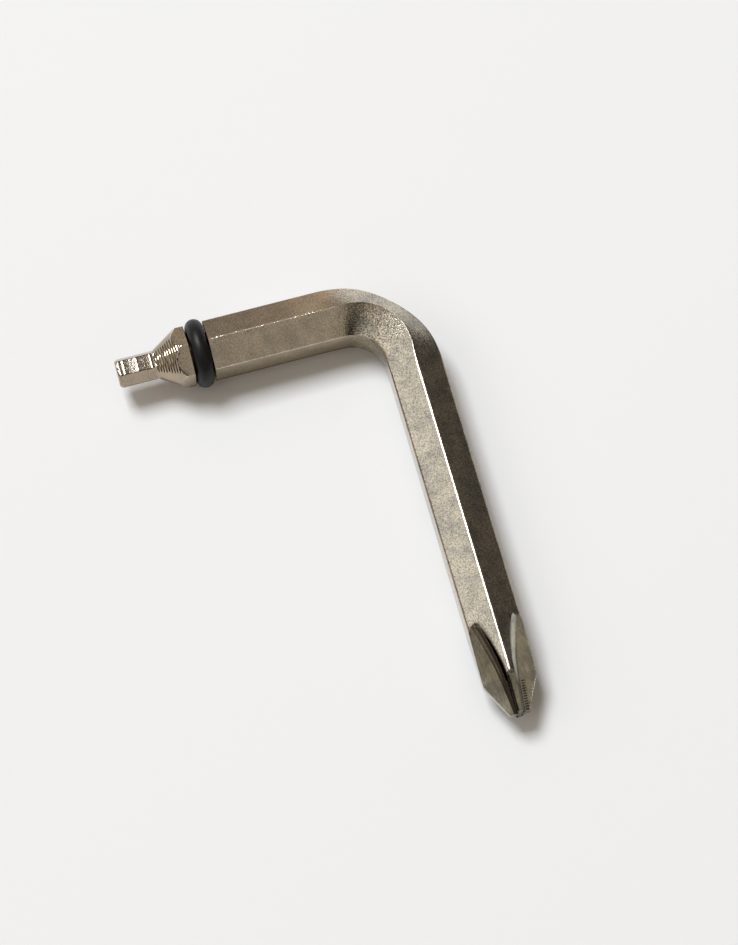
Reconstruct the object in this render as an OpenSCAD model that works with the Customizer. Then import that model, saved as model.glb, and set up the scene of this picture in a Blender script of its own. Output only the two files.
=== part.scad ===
// Bent hexagon key of a skate tool: a cross tip on the long arm, a hexagon tip on the short arm,
// and a rubber ring in a groove that holds the key in the tool's hexagon socket.
// Millimetres, +Z up. The bend lies flat in XY, the short arm points to -X and the long arm to -Y.

/* [Bar] */
// Across the flats of the hexagon bar
bar_af = 6.35; // [5.5:0.05:7.5]
// How much each corner of the bar is rounded off, measured from the sharp corner
bar_corner_cut = 0.055; // [0.02:0.005:0.15]

/* [Arms] */
// Long arm, from the outside of the bend to the end of the cross tip
long_arm_l = 55.6; // [45:0.1:80]
// Short arm, from the outside of the bend to the end of the hexagon tip
short_arm_l = 37.05; // [32:0.05:55]

/* [Bend] */
// Radius inside the bend
bend_inner_r = 3.8; // [2.5:0.05:6]
// How much thinner bending has drawn the outside of the bend, at its middle
bend_draw = 1; // [0.3:0.05:1.5]

/* [Groove and ring] */
// Diameter of the groove's floor
groove_floor_d = 4.35; // [3.6:0.05:4.8]
// Thickness of the rubber ring
ring_section_d = 1.9; // [1.6:0.05:2.6]
// Running gap between the ring and the groove's floor
ring_floor_gap = 0.05; // [0.02:0.01:0.09]
// Gap beside the ring at each wall of the groove
ring_side_gap = 0.2; // [0.05:0.05:0.4]

/* [Collar and cone] */
// Length of the collar between the groove and the cone, along the bar's corners
collar_l = 1.1; // [0.6:0.05:3]
// Half angle of the turned cone
cone_half_angle = 32; // [24:1:45]
// How far the cone's small end stands out past the flats of the hexagon tip
cone_step = 0.06; // [0.02:0.01:0.2]

/* [Hexagon tip] */
// Across the flats of the hexagon tip
hex_tip_af = 3.175; // [2:0.005:4]
// Length of the hexagon tip
hex_tip_l = 4.55; // [3:0.05:9]
// How much each corner of the hexagon tip is rounded off
hex_tip_corner_cut = 0.02; // [0.01:0.005:0.08]
// Depth of the chamfer around the hexagon tip's end
hex_tip_chamfer = 0.35; // [0.1:0.05:0.6]
// Turn of the hexagon tip against the bar, 30 puts its flats over the bar's corners
hex_tip_turn = 30; // [0:1:60]

/* [Cross tip] */
// Diameter of the flat end
tip_flat_d = 2.39; // [1.6:0.01:3]
// Included angle of the pointed end
tip_angle = 53; // [45:1:70]
// Thickness of each wing at the rim of the flat end
wing_t = 0.66; // [0.45:0.01:0.9]
// Angle between the walls of a flute
flute_angle = 93; // [90:0.5:100]
// Width of the flat along the bottom of a flute
flute_floor_w = 0.3; // [0.1:0.05:0.5]
// Length of the flutes, from the tip's end to where they leave the bar
flute_l = 11.15; // [8:0.05:16]
// Length that is cut straight before the flutes rise out of the bar
flute_straight_l = 4.4; // [2:0.1:6]

/* [Hidden] */
$fn = 96;

steel = [0.62, 0.57, 0.52];
rubber = [0.05, 0.05, 0.055];
over = 1;                       // how far a cutter reaches past what it cuts

bar_half = bar_af / 2;
bar_corner_r = bar_half / cos(30) - bar_corner_cut;
long_end = long_arm_l - bar_half;     // lengths run from where the arms' middle lines cross
short_end = short_arm_l - bar_half;

bend_r = bend_inner_r + bar_half;     // middle line of the bend
runout_angle = 4;               // angle at which the drawn surface leaves the flats beside the bend
drawn_span = sqrt(2) * (bend_r + bar_half) - (bend_r + bar_half) + bend_draw;
drawn_r = drawn_span / (sqrt(2) * cos(runout_angle) - 1);
drawn_c = drawn_r * cos(runout_angle) - bar_half;

ring_r = groove_floor_d / 2 + ring_floor_gap + ring_section_d / 2;
ring_outer_r = ring_r + ring_section_d / 2;
groove_w = ring_section_d + 2 * ring_side_gap;

cone_end = short_end - hex_tip_l;
cone_small_r = hex_tip_af / 2 + cone_step;
cone_l = (bar_corner_r - cone_small_r) / tan(cone_half_angle);
groove_end = cone_end - cone_l - collar_l;
groove_start = groove_end - groove_w;
groove_middle = groove_end - groove_w / 2;

hex_tip_corner_r = hex_tip_af / 2 / cos(30) - hex_tip_corner_cut;
chamfer_half_angle = 45;

wall_lean = flute_angle / 2 - 45;     // how far a wing's side leans off its middle plane
flute_apex = sqrt(2) * (wing_t / 2 + tip_flat_d / 2 * tan(wall_lean)) / (1 + tan(wall_lean));
flute_floor = flute_apex + flute_floor_w / 2 / tan(flute_angle / 2);
flute_exit_r = bar_half / cos(15);    // the bar's surface halfway between two wings
flute_rise = atan((flute_exit_r - flute_floor) / (flute_l - flute_straight_l));
sloping_angle = 2 * atan(tan(flute_angle / 2) / cos(flute_rise));   // the same walls, cut on the slope

origin_x = (short_end - bar_half) / 2;                     // the part's box is centred on X and Y
origin_y = (long_end - max(bar_half, ring_outer_r)) / 2;   // and stands on z = 0
origin_z = max(ring_outer_r, bar_corner_r);

// A hexagon with two corners up and down, its corners turned off round
module hexagon(af, corner_r) {
    sharp_r = af / 2 / cos(30);
    intersection() {
        polygon([for (i = [0:5]) sharp_r * [sin(60 * i), cos(60 * i)]]);
        circle(r = corner_r);
    }
}

// Places a piece drawn along +Z from the corner of the arms on the long arm
module along_long() {
    rotate([90, 0, 0])
        children();
}

// Places a piece drawn along +Z from the corner of the arms on the short arm
module along_short() {
    rotate([90, 0, -90])
        children();
}

// Everything outside a cone of radius r at height z that widens downwards
module outside_cone(r, z, half_angle) {
    wide = bar_af + over;
    rotate_extrude()
        polygon([
            [r, z],
            [wide, z - (wide - r) / tan(half_angle)],
            [wide, z + over],
            [r, z + over]
        ]);
}

// One flute of the cross tip: what a straight cut and a sloping one that leaves the bar have in common
module flute() {
    slope_l = 4 * flute_l;
    intersection() {
        translate([flute_floor, 0, long_end - flute_l - over])
            linear_extrude(flute_l + 2 * over)
                flute_section(flute_angle);
        translate([flute_floor, 0, long_end - flute_straight_l])
            rotate([0, -flute_rise, 0])
                linear_extrude(slope_l, center = true)
                    flute_section(sloping_angle);
    }
}

// Section of a flute, its floor on the Y axis and its walls opening towards +X
module flute_section(angle) {
    deep = 2 * bar_af;
    wide = flute_floor_w / 2 + deep * tan(angle / 2);
    polygon([
        [0, -flute_floor_w / 2],
        [deep, -wide],
        [deep, wide],
        [0, flute_floor_w / 2]
    ]);
}

// The straight long arm with its cross tip
module long_arm() {
    difference() {
        translate([0, 0, bend_r])
            linear_extrude(long_end - bend_r)
                hexagon(bar_af, bar_corner_r);
        for (i = [0:3])
            rotate(45 + 90 * i)
                flute();
        outside_cone(tip_flat_d / 2, long_end, tip_angle / 2);
    }
}

// The straight short arm with its groove, collar and cone
module short_arm() {
    difference() {
        translate([0, 0, bend_r])
            linear_extrude(cone_end - bend_r)
                hexagon(bar_af, bar_corner_r);
        rotate_extrude()
            translate([groove_floor_d / 2, groove_start])
                square([bar_af, groove_w]);
        outside_cone(cone_small_r, cone_end, cone_half_angle);
    }
}

// The small hexagon tip, rooted in the cone
module hex_tip() {
    difference() {
        rotate(hex_tip_turn)
            translate([0, 0, cone_end - cone_l / 2])
                linear_extrude(hex_tip_l + cone_l / 2)
                    hexagon(hex_tip_af, hex_tip_corner_r);
        outside_cone(hex_tip_corner_r - hex_tip_chamfer, short_end, chamfer_half_angle);
    }
}

// The bend, before its outside was drawn in
module bend() {
    translate([-bend_r, -bend_r, 0])
        rotate_extrude(angle = 90)
            translate([bend_r, 0])
                hexagon(bar_af, bar_corner_r);
}

// What bending took off the outside of the corner, on the bend and on the arms beside it
module drawn_outside() {
    translate([-drawn_c, -drawn_c, -bar_af])
        linear_extrude(2 * bar_af)
            difference() {
                square(drawn_c + bar_half + over);
                circle(r = drawn_r);
            }
}

// The steel key
module key_bar() {
    color(steel)
        translate([origin_x, origin_y, origin_z]) {
            difference() {
                union() {
                    bend();
                    along_long()
                        long_arm();
                    along_short()
                        short_arm();
                }
                drawn_outside();
            }
            along_short()
                hex_tip();
        }
}

// The rubber ring in the groove
module o_ring() {
    color(rubber)
        translate([origin_x, origin_y, origin_z])
            along_short()
                translate([0, 0, groove_middle])
                    rotate_extrude()
                        translate([ring_r, 0])
                            circle(d = ring_section_d);
}

key_bar();
o_ring();
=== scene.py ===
# %% [markdown]
# # The bent key of a skate tool
#
# The real object is one length of quarter-inch hexagon bar. While it was straight, one end was milled to a
# cross tip and the other was turned to a groove, a cone and a small hexagon tip. Then it was bent to a
# right angle and plated with nickel, and a rubber ring was rolled into the groove.
#
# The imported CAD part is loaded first. It stays as it is and says where everything goes, so each piece made
# below is built in the same metres and the same place, with nothing to fit afterwards.

import bpy
import numpy as np
from mathutils import Matrix, Vector


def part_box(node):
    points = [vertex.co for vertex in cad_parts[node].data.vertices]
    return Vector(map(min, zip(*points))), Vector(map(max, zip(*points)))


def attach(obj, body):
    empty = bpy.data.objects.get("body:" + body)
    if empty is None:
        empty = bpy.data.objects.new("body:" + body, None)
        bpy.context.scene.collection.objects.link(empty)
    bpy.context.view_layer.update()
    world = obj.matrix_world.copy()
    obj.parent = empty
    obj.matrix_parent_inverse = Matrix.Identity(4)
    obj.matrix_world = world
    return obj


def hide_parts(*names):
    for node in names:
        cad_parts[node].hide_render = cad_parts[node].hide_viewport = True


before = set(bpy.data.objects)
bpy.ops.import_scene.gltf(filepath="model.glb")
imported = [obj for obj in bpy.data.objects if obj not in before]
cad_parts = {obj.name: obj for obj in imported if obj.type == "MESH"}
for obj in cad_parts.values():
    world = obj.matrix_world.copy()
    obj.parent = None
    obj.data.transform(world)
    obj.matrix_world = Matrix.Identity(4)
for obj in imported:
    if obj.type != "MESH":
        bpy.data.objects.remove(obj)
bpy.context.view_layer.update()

key_low, key_high = (np.array(side) * 1000 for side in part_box("key_bar"))
ring_low, ring_high = (np.array(side) * 1000 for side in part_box("o_ring"))
print("key box in mm:", key_low.round(3), key_high.round(3))

# %% [markdown]
# ## Where the bar's middle line runs
#
# The bar is six-sided with a corner up and a corner down, so two of its flats face the inside and the
# outside of the bend. That puts the middle line half the bar's width inside the box of the CAD key on two
# sides. All sizes here are in millimetres, because a person can check those with a caliper, and one factor
# turns them into Blender's metres at the end.

# %% Sizes of the bar
mm = 0.001
bar_af, bend_inner_r = 6.35, 3.8
bar_half = bar_af / 2
bend_r = bend_inner_r + bar_half
corner = np.array([key_high[0] - bar_half, key_high[1] - bar_half, (key_low[2] + key_high[2]) / 2])
long_end = corner[1] - key_low[1]
short_end = corner[0] - key_low[0]
arc_start = long_end - bend_r
arc_length = bend_r * np.pi / 2
print("arms from the corner in mm:", round(long_end, 3), round(short_end, 3))
print("straight bar in mm:", round(arc_start + arc_length + short_end - bend_r, 2))

# %% [markdown]
# ## The straight bar, ring by ring
#
# A bar that is milled and turned could be made with boolean cuts, but cuts leave ragged edges that take no
# clean fillet. Every section of this bar can be seen whole from its own middle line, so it is built as a
# stack of rings instead: each ring is the outline of the bar at one place along it, always with the same
# number of points, and neighbouring rings are joined with quads. Edges then run along the mesh and their
# fillets stay even.
#
# The basic outline is a hexagon, given as a distance from the middle for each direction. Its corners are
# wide and soft on the long arm, tighter on the short arm and almost sharp in the bend, where the metal was
# drawn.

# %% Rounded hexagon
edge_r, bend_edge_r, short_edge_r = 0.42, 0.03, 0.13
cos30 = np.cos(np.pi / 6)


def hexagon_r(angle, half, fillet, corner_at):
    """How far a hexagon with rounded corners reaches from its middle in a direction."""
    off = (angle - corner_at + np.pi / 6) % (np.pi / 3) - np.pi / 6
    far = (half - fillet) / cos30
    flat = half / np.cos(np.pi / 6 - np.abs(off))
    inside = np.clip(fillet ** 2 - (far * np.sin(off)) ** 2, 0, None)
    arc = far * np.cos(off) + np.sqrt(inside)
    arc_half = np.arctan2(fillet / 2, far + fillet * cos30)
    return np.where(np.abs(off) < arc_half, arc, flat)


def soft_min(a, b, k):
    """The smaller of two surfaces, with the edge where they meet rounded over about k."""
    h = np.clip(0.5 + 0.5 * (b - a) / k, 0, 1)
    return b + (a - b) * h - k * h * (1 - h)


def bar_r(angle, fillet=edge_r):
    """Outline of the plain bar, with its corners up and down."""
    return hexagon_r(angle, bar_half, fillet, np.pi / 2)


bar_corner_r = float(bar_r(np.pi / 2))
print("corner of the bar in mm:", round(bar_half / cos30, 3), "rounded to", round(bar_corner_r, 3))

# %% [markdown]
# ## The points of a ring
#
# A section is the same in all four quarters, so only one quarter is worked out and mirrored. Points are
# placed by their angle, close together round a corner and far apart on a flat. On every ring they fall
# into the same three groups: the side corner, the stretch that the flutes cut, and the top corner. An edge
# then keeps its points from one end of the bar to the other.

# %% Points of the plain bar
side_points, cut_points, top_points = 22, 15, 11
side_numbers, top_numbers = [0, 2, 10, 11, 17, 18, 22], [0, 2, 6, 11]
cut_from, cut_to = 45, 75


def fillet_span(fillet):
    """Half the angle that a rounded corner takes up, in degrees."""
    return np.degrees(np.arctan2(fillet / 2, (bar_half - fillet) / cos30 + fillet * cos30))


def side_angles(limit, fillet=edge_r):
    """Angles over the side flat and round the corner at 30 degrees, up to a limit."""
    a = min(30 - fillet_span(fillet), 0.86 * limit)
    b = min(30 + fillet_span(fillet), 0.94 * limit)
    angles = [0, 2, a - 0.5, a, b, b + 0.04 * (limit - b), limit]
    return np.interp(np.arange(side_points + 1), side_numbers, angles)


def top_angles(limit, fillet=edge_r):
    """Angles from a limit up to the corner at the top."""
    a = max(90 - fillet_span(fillet), limit + 0.8 * (90 - limit))
    angles = [limit, a - 0.3 * (a - limit), a, 90]
    return np.interp(np.arange(top_points + 1), top_numbers, angles)


def whole_ring(quarter):
    """Mirrors one quarter of a section, from the side to the top, into the whole outline."""
    back = quarter[::-1]
    return np.concatenate([quarter[:-1], back[:-1] * (-1, 1), -quarter[:-1], back[:-1] * (1, -1)])


def plain_points(fillet):
    """Outline of the plain bar as a ring of points."""
    middle = np.linspace(cut_from, cut_to, cut_points + 1)
    angles = np.concatenate([side_angles(cut_from, fillet)[:-1], middle[:-1], top_angles(cut_to, fillet)])
    angles = np.radians(angles)
    return whole_ring((bar_r(angles, fillet) * [np.cos(angles), np.sin(angles)]).T)


print("points in a ring:", len(plain_points(edge_r)))

# %% [markdown]
# ## The floor of a flute
#
# Four flutes were milled into the end of the long arm and leave a wing on each side. The cutter was round,
# so each flute runs straight at first and then sweeps out of the bar. Two straight cuts would leave a
# kink, so the floor's distance from the middle line is eased from one to the other.

# %% Floor of a flute
tip_flat_d, tip_angle, wing_t, flute_angle = 2.39, 53, 0.66, 93
tip_flat_r, wing_half = tip_flat_d / 2, wing_t / 2
tip_lean = np.tan(np.radians(tip_angle / 2))
flute_half = np.radians(flute_angle / 2)
flute_straight, flute_length = 4.4, 11.15
wall_lean = np.tan(flute_half - np.pi / 4)
flute_apex = np.sqrt(2) * (wing_half + tip_flat_r * wall_lean) / (1 + wall_lean)
root_rise = 1 / np.sin(flute_half) - 1
root_r_end, root_r_top, root_r_grows, root_r_limit = 0.32, 0.76, 8, 4.5
flute_floor = flute_apex + root_r_end * root_rise
flute_taper, flute_bow, flute_ease = 0.075, 0.5, 1.4
flute_exit = float(bar_r(np.pi / 4))
whole_run = 0.9995


def eased(x):
    """Zero before x = 0 and x after it, with a gentle bend between."""
    return (x + np.sqrt(x * x + flute_ease ** 2)) / 2


def flute_root(x):
    """Distance of a flute's floor from the middle line and the radius at its bottom, x mm from the end."""
    run = min(eased(x - flute_straight) / eased(flute_length - flute_straight), whole_run)
    floor = flute_floor + flute_taper * min(x, flute_straight)
    floor += (flute_exit - floor) * ((1 - flute_bow) * run + flute_bow * run ** 2)
    root_r = root_r_end + (root_r_top - root_r_end) * min(x / root_r_grows, 1)
    return floor, min(root_r, root_r_limit * (flute_exit - floor))


print("flute floor in mm at the end and at 8 mm:", round(flute_root(0)[0], 3), round(flute_root(8)[0], 3))

# %% [markdown]
# ## The outline of the cross tip
#
# In one quarter the outline goes along the side wing's crest, down its wall, round the bottom of the flute
# and up the wall of the top wing. A wall ends where it meets the bar or the cone. The edge there is
# softened, so a formula for that point would be long, and it is found by halving a length until it is
# close enough.

# %% Helpers for the outline
halvings, longest_wall = 40, 6.0


def polar(angle, r):
    """A point from its direction and distance."""
    return np.array([np.cos(angle), np.sin(angle)]) * r


def bezier(a, b, c, count):
    """A rounded corner from a to c that bends towards b."""
    t = np.linspace(0, 1, count + 1)[:, None]
    return (1 - t) ** 2 * a + 2 * t * (1 - t) * b + t ** 2 * c


def wall_reach(start, along, rim):
    """How far a wall runs from its start until it meets the rim."""
    near, far = 0.0, longest_wall
    for _ in range(halvings):
        reach = (near + far) / 2
        point = start + along * reach
        inside = np.hypot(*point) < rim(np.arctan2(point[1], point[0]))
        near, far = (reach, far) if inside else (near, reach)
    return near


print("a wall from the middle to the bar in mm:", round(wall_reach(np.zeros(2), polar(0, 1), bar_r), 3))

# %% [markdown]
# ## A section of the cross tip
#
# A pointed cone trims the wings, and the lathe left faint rings on it. Where the cone reaches the bar it
# flares out and leaves the wings alone. The edges of the wings are rounded a little, and the bottom of a
# flute is almost flat.

# %% Outline of the cross tip
turned_pitch, turned_depth = 0.42, 0.02
cone_leaves, cone_flare = 3.95, 0.55
rim_soft, edge_soft = 0.04, 0.06
edge_points, wall_points, root_points, root_round = 3, 2, 6, 0.12


def cross_quarter(x, inset=0.0):
    """One quarter of the cross tip's outline, x mm from the end of the tip."""
    ridge = (2 * (x / turned_pitch % 1) - 1) ** 2 - 0.6
    cone_r = tip_flat_r + x * tip_lean - inset + turned_depth * ridge + cone_flare * max(0, x - cone_leaves)

    def rim(angle):
        return soft_min(bar_r(angle), cone_r, rim_soft)

    floor, root_r = flute_root(x)
    apex = polar(np.pi / 4, floor - root_r * root_rise)
    side_wall, top_wall = polar(np.pi / 4 - flute_half, 1), polar(np.pi / 4 + flute_half, 1)
    side_reach, top_reach = wall_reach(apex, side_wall, rim), wall_reach(apex, top_wall, rim)
    root_cut = root_r / np.tan(flute_half)
    soft = min(edge_soft, 0.2 * (min(side_reach, top_reach) - root_cut))
    side_edge, top_edge = apex + side_wall * side_reach, apex + top_wall * top_reach
    side_limit = np.arctan2(side_edge[1], side_edge[0]) - soft / np.hypot(*side_edge)
    top_limit = np.arctan2(top_edge[1], top_edge[0]) + soft / np.hypot(*top_edge)
    side = np.radians(side_angles(np.degrees(side_limit)))
    top = np.radians(top_angles(np.degrees(top_limit)))
    crest = (rim(side) * [np.cos(side), np.sin(side)]).T
    peak = (rim(top) * [np.cos(top), np.sin(top)]).T
    arc = np.linspace(1, -1, root_points) * (np.pi / 2 - flute_half)
    root_middle = apex + polar(np.pi / 4, root_r / np.sin(flute_half))
    root = root_middle + root_r * np.array([polar(np.pi * 5 / 4 + a, 1) for a in arc])
    chord = root[0] + (root[-1] - root[0]) * np.linspace(0, 1, root_points)[:, None]
    root = chord + (root - chord) * root_round
    down = side_edge - side_wall * soft
    up = top_edge - top_wall * soft
    return np.concatenate([
        crest,
        bezier(crest[-1], side_edge, down, edge_points)[1:],
        np.linspace(down, root[0], wall_points + 1)[1:],
        root[1:],
        np.linspace(root[-1], up, wall_points + 1)[1:],
        bezier(up, top_edge, peak[0], edge_points)[1:],
        peak[1:],
    ])


print("points in a quarter of the cross tip:", len(cross_quarter(2.0)))

# %% [markdown]
# ## The rings of the cross tip
#
# The rings start at the end of the tip. They are close together on the cone, to hold its turned rings, and
# where a flute runs out of the bar, because its outline changes quickly there.

# %% Rings of the cross tip
end_inset = 0.05
cone_part, sweep_part = 5.0, 10.6
stations, rings = [], []


def add_ring(place, points):
    """Adds one outline at its place along the bar."""
    stations.append(place)
    rings.append(points)


add_ring(0.0, whole_ring(cross_quarter(0.0, end_inset)))
tip_places = np.concatenate([
    np.arange(end_inset, cone_part, turned_pitch / 6),
    np.arange(cone_part, sweep_part, 0.16),
    np.linspace(sweep_part, flute_length, 14),
])
for place in tip_places:
    add_ring(place, whole_ring(cross_quarter(place)))
print("rings in the cross tip:", len(rings))

# %% [markdown]
# ## The rings of the plain bar
#
# Between the tips only the rounding of the corners changes. Rings are far apart on the long arm, closer
# where the bar will bend, and closest on the short arm, because its worn top edge needs fine points.

# %% Rings of the plain bar
groove_start, groove_end = 22.782, 25.082
to_path = arc_start + arc_length - bend_r
bend_reach = 2.4
bend_end = arc_start + arc_length + bend_reach
long_step, bend_step, short_step = 1.0, 0.26, 0.12
long_places = np.arange(flute_length + 0.5, arc_start - bend_reach, long_step)
bend_places = np.arange(arc_start - bend_reach, bend_end, bend_step)
short_places = np.arange(bend_end, to_path + groove_start - short_step, short_step)
for place in np.concatenate([long_places, bend_places, short_places]):
    fillet = np.interp(place - arc_start, [-bend_reach, 0.2, arc_length, arc_length + 2],
                       [edge_r, bend_edge_r, bend_edge_r, short_edge_r])
    add_ring(place, plain_points(fillet))
print("rings with the plain bar:", len(rings))

# %% [markdown]
# ## The outline of the collar and the cone
#
# The other end was turned in a lathe: a groove with a round floor, a short collar that is still six-sided,
# and a cone. The lathe tool left a fine spiral on the cone. A clean spiral would look like a screw thread,
# so its depth differs from coil to coil, and it is deeper on the top and bottom than at the sides.

# %% Outline of the collar and the cone
short_ring = plain_points(short_edge_r)
ring_angles = np.arctan2(short_ring[:, 1], short_ring[:, 0])
hex_tip_length, cone_half_angle, cone_small_r = 4.55, 32, 1.6475
cone_end = short_end - hex_tip_length
cone_lean = np.tan(np.radians(cone_half_angle))
spiral_pitch, spiral_depth = 0.29, 0.046
tip_af, tip_fillet = 3.175, 0.1
tip_half = tip_af / 2
cut_soft, tip_root_soft = 0.03, 0.05


def round_points(r):
    """A round outline, or one whose radius differs from point to point."""
    return (r * np.array([np.cos(ring_angles), np.sin(ring_angles)])).T


def cone_r_at(q, angle):
    """Radius of the turned cone, with the ridges of the lathe tool's spiral."""
    turn = q / spiral_pitch + angle / (2 * np.pi)
    ridge = np.abs(2 * (turn % 1) - 1) - 0.7
    coil = np.floor(turn)
    uneven = 1 - 0.3 * np.cos(2 * angle)
    uneven += 0.22 * np.sin(2.4 * coil) * np.sin(3 * angle) + 0.2 * np.sin(4.7 * coil + 5 * angle)
    return cone_small_r + (cone_end - q) * cone_lean + spiral_depth * uneven * ridge


def turned_points(q):
    """Outline of the collar and cone, with the root of the hexagon tip inside."""
    r = soft_min(bar_r(ring_angles, short_edge_r), cone_r_at(q, ring_angles), cut_soft)
    r = -soft_min(-r, -hexagon_r(ring_angles, tip_half, tip_fillet, 0.0), tip_root_soft)
    return round_points(r)


print("cone from", round(groove_end + 1.0, 2), "to", round(cone_end, 2), "mm from the corner of the arms")

# %% [markdown]
# ## The outline of the hexagon tip
#
# The small hexagon tip was milled last. Its top flat shows the steps where the cutter stopped and started
# again: each stretch ramps down to a depth and ends in a short wall. They are real dents and not a bump in
# the material, because they are what catches the light. Distances of the steps are from the end of the
# tip.

# %% Outline of the hexagon tip
tip_chamfer, step_wall = 0.35, 0.08
tip_corner_r = float(hexagon_r(0.0, tip_half, tip_fillet, 0.0))
cutter_steps = [0.0, 0.41, 0.88, 2.46, 4.2, 4.6]
cutter_ramps = [0.5, 0.5, 0.5, 0.85, 0.5]
cutter_depths = [0.035, 0.035, 0.035, 0.055, 0.035]


def cutter_drop(q):
    """How deep the cutter went into the top flat of the hexagon tip."""
    place = short_end - q
    for left, right, part, depth in zip(cutter_steps, cutter_steps[1:], cutter_ramps, cutter_depths):
        if left <= place <= right:
            ramp = np.clip((place - left) / (part * (right - left)), 0, 1)
            wall = np.clip((right - place) / step_wall, 0, 1)
            return depth * ramp * (2 - ramp) * wall * wall * (3 - 2 * wall)
    return 0.0


def hex_tip_points(q):
    """Outline of the small hexagon tip, q mm from the corner of the arms."""
    r = hexagon_r(ring_angles, tip_half, tip_fillet, 0.0)
    r = soft_min(r, tip_corner_r - tip_chamfer + (short_end - q), cut_soft)
    outline = round_points(r)
    outline[:, 1] = np.minimum(outline[:, 1], tip_half - cutter_drop(q))
    return outline


print("cutter steps on the top flat:", len(cutter_depths), "deepest in mm:", max(cutter_depths))

# %% [markdown]
# ## The rings of the turned end
#
# The groove's walls are two rings at the same place, one wide and one narrow, with a small chamfer at the
# rim and another at the floor. The spiral needs eight rings a turn, and each cutter step a few rings at
# its wall.

# %% Rings of the turned end
groove_floor_r, floor_r, chamfer = 2.175, 0.1, 0.07
chamfer_ring = short_ring * (1 - chamfer / np.hypot(*short_ring.T))[:, None]
for q, outline in (
    (groove_start - chamfer, short_ring),
    (groove_start, chamfer_ring),
    (groove_start, round_points(groove_floor_r + floor_r)),
    (groove_start + floor_r, round_points(groove_floor_r)),
    (groove_end - floor_r, round_points(groove_floor_r)),
    (groove_end, round_points(groove_floor_r + floor_r)),
    (groove_end, chamfer_ring),
    (groove_end + chamfer, short_ring),
):
    add_ring(to_path + q, outline)
collar_places = np.arange(groove_end + 0.4, groove_end + 0.9, 0.2)
cone_places = np.arange(groove_end + 1.0, cone_end, spiral_pitch / 8)
for q in np.concatenate([collar_places, cone_places, [cone_end]]):
    add_ring(to_path + q, turned_points(q))
wall_offsets = (0.0, 0.02, 0.04, 0.06, 0.08)
wall_places = [short_end - step + off for step in cutter_steps[1:] for off in wall_offsets]
small_places = np.concatenate([
    np.arange(cone_end + 0.03, short_end - 0.45, 0.1),
    [q for q in wall_places if q > cone_end + 0.03],
    np.linspace(short_end - 0.42, short_end, 9),
])
for q in np.unique(small_places.round(4)):
    add_ring(to_path + q, hex_tip_points(q))
print("rings in all:", len(rings))

# %% [markdown]
# ## Joining the rings
#
# The rings become one closed mesh: quads between neighbours and a fan of triangles over each end. The bar
# lies straight along Y for now.

# %% Mesh of the straight bar
count = len(rings[0])
outlines = np.array(rings)
places = np.repeat(np.array(stations)[:, None], count, axis=1)
points = np.stack([outlines[:, :, 0], places, outlines[:, :, 1]], axis=2).reshape(-1, 3)
points = np.concatenate([points, [[0, stations[0], 0], [0, stations[-1], 0]]])
here = np.arange(count)
there = (here + 1) % count
ring_starts = np.arange(len(rings) - 1)[:, None] * count
first, after = ring_starts + here, ring_starts + there
quads = np.stack([first, first + count, after + count, after], axis=2).reshape(-1, 4)
last = (len(rings) - 1) * count
start_fan = np.stack([np.full(count, len(points) - 2), here, there], axis=1)
end_fan = np.stack([np.full(count, len(points) - 1), last + there, last + here], axis=1)
bar_mesh = bpy.data.meshes.new("key")
bar_mesh.from_pydata((points * mm).tolist(), [], quads.tolist() + start_fan.tolist() + end_fan.tolist())
bar_mesh.validate()
bar = bpy.data.objects.new("key", bar_mesh)
bpy.context.collection.objects.link(bar)
print("straight bar:", len(points), "points,", len(bar_mesh.polygons), "faces")

# %% [markdown]
# ## Where each point lies
#
# The plating doesn't look the same all over: it differs where the bar was milled, turned, bent or worn, and
# some places get painted light or shade.
# While the bar is straight, it is easy to say where a point lies: how far along, in which direction from
# the middle line, and how far from a corner. In the flutes a point's number in its ring says which wall it
# is on.

# %% Measures along and round the bar
on_surface = 0.03
across_bar, from_end, height_on_bar = points.T
angle = np.arctan2(height_on_bar, across_bar)
reach = from_end - to_path
on_bar = np.hypot(across_bar, height_on_bar) > bar_r(angle) - on_surface
from_top = np.degrees(np.abs(angle - np.pi / 2))
in_bend = np.clip(1.4 - np.abs(from_end - arc_start - arc_length / 2) / (arc_length / 2), 0, 1)
outside = across_bar > 0.05
flute_bottom, top_wing_wall = slice(28, 32), slice(32, 36)
side_wing_wall, up_to_top_edge = slice(24, 30), slice(30, 38)


def off_corner(corner_at):
    """Degrees from each point to the nearest of six corners, one of which is at an angle."""
    return np.degrees(np.abs((angle - corner_at + np.pi / 6) % (np.pi / 3) - np.pi / 6))


def off_direction(towards):
    """Degrees from each point to a direction."""
    return np.degrees(np.abs(angle - towards))


def on_flutes(values):
    """Sets values on stretches of a quarter's points and repeats them round every ring."""
    quarter = np.zeros(count // 4 + 1)
    for stretch, value in values:
        quarter[stretch] = value
    half_ring = np.concatenate([quarter[:-1], quarter[:0:-1]])
    return np.append(np.tile(half_ring, 2 * len(rings)), [0, 0])


print("points on the bar's own surface:", int(on_bar.sum()), "of", len(points))
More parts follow.
